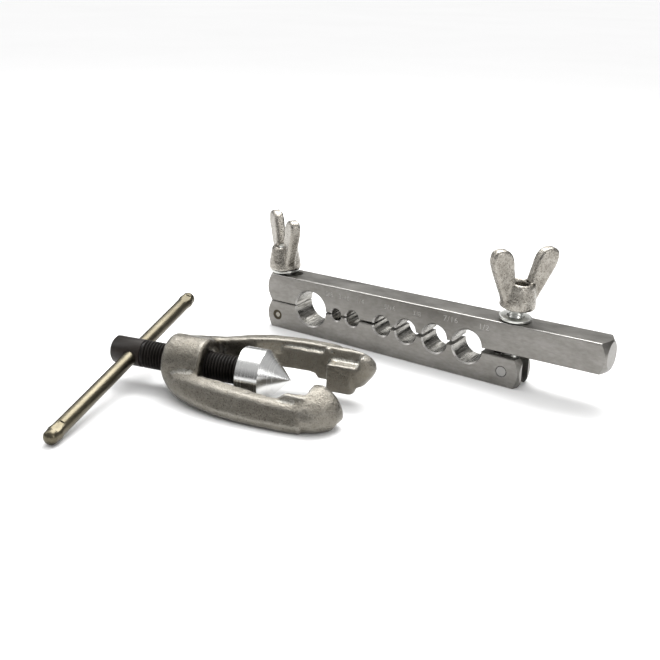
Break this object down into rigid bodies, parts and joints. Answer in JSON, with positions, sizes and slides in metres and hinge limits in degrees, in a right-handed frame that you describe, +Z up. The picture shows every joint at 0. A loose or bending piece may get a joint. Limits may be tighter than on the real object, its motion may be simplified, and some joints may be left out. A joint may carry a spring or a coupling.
{
  "type": "tube flaring tool",
  "caption": "Tube flaring tool: split die bar with graded tube bores, swing bolts and wing nuts, and a loose screw yoke with a flaring cone and a sliding T-handle.",
  "frame": {"origin": "centre of the lower bar's bottom face, on the surface the tool lies on", "axes": "+X along the bars towards the long grip end, +Y to the back, away from the yoke, +Z up, square to the seam of the bars"},
  "size_m": [0.1778, 0.1623, 0.0579],
  "materials": {
    "bar_steel": "satin ground",
    "pin_steel": "ground",
    "zinc_steel": "bright zinc",
    "cast_nickel": "as-cast, plated",
    "cast_body": "as-cast, plated, fine grain",
    "black_oxide": "black oxide",
    "polished_cone": "turned and polished",
    "spring_steel": "oiled",
    "nickel_rod": "dull nickel"
  },
  "bodies": {
    "lower_jaw": {"lower_die_bar": "bar_steel", "left_pivot_pin": "pin_steel", "right_pivot_pin": "pin_steel"},
    "upper_bar": {"upper_die_bar": "bar_steel"},
    "left_bolt": {"left_swing_bolt": "zinc_steel"},
    "left_washer": {"left_washer": "zinc_steel"},
    "left_nut": {"left_wing_nut": "cast_nickel"},
    "right_bolt": {"right_swing_bolt": "zinc_steel"},
    "right_washer": {"right_washer": "zinc_steel"},
    "right_nut": {"right_wing_nut": "cast_nickel"},
    "yoke": {"yoke": "cast_body"},
    "cone": {"flaring_cone": "polished_cone", "thrust_ball": "polished_cone", "cone_snap_ring": "spring_steel"},
    "screw": {"feed_screw": "black_oxide"},
    "handle": {"handle_bar": "nickel_rod"}
  },
  "joints": [
    {"name": "upper_bar_tilt", "type": "hinge", "parent": "lower_jaw", "child": "upper_bar", "pos_m": [-0.06035, 0, 0.0128], "axis": [0, 1, 0], "range_deg": [0, 0.86]},
    {"name": "left_bolt_swing", "type": "hinge", "parent": "lower_jaw", "child": "left_bolt", "pos_m": [-0.0572, 0, 0.00625], "axis": [0, -1, 0], "range_deg": [0, 90]},
    {"name": "left_nut_turn", "type": "hinge", "parent": "left_bolt", "child": "left_washer", "pos_m": [-0.0572, 0, 0.00625], "axis": [-0.0155, 0, 0.9999], "range_deg": [0, 2160]},
    {"name": "left_nut_travel", "type": "slide", "parent": "left_washer", "child": "left_nut", "axis": [-0.0155, 0, 0.9999], "range_m": [0, 0.00762]},
    {"name": "right_bolt_swing", "type": "hinge", "parent": "lower_jaw", "child": "right_bolt", "pos_m": [0.05525, 0, 0.00645], "axis": [0, 1, 0], "range_deg": [-4, 0]},
    {"name": "right_nut_turn", "type": "hinge", "parent": "right_bolt", "child": "right_washer", "pos_m": [0.05525, 0, 0.00645], "axis": [0.0664, 0, 0.9978], "range_deg": [-1062, 1188]},
    {"name": "right_nut_travel", "type": "slide", "parent": "right_washer", "child": "right_nut", "axis": [0.0664, 0, 0.9978], "range_m": [-0.00375, 0.00419]},
    {"name": "yoke_lift", "type": "slide", "parent": "lower_jaw", "child": "yoke", "axis": [0, 0, 1], "range_m": [0, 0.08]},
    {"name": "cone_travel", "type": "slide", "parent": "yoke", "child": "cone", "axis": [0.9663, 0.2562, -0.0236], "range_m": [-0.01397, 0.01143]},
    {"name": "screw_turn", "type": "hinge", "parent": "cone", "child": "screw", "pos_m": [-0.00166, -0.07189, 0.011], "axis": [0.9663, 0.2562, -0.0236], "range_deg": [-3960, 3240]},
    {"name": "handle_slide", "type": "slide", "parent": "screw", "child": "handle", "axis": [0.2494, -0.9551, -0.1598], "range_m": [-0.05, 0.0365]}
  ],
  "couplings": [
    {"joint": "left_nut_travel", "follows": "left_nut_turn", "m_per_rad": 0.00020213},
    {"joint": "right_nut_travel", "follows": "right_nut_turn", "m_per_rad": 0.00020213},
    {"joint": "cone_travel", "follows": "screw_turn", "m_per_rad": 0.00020213}
  ]
}
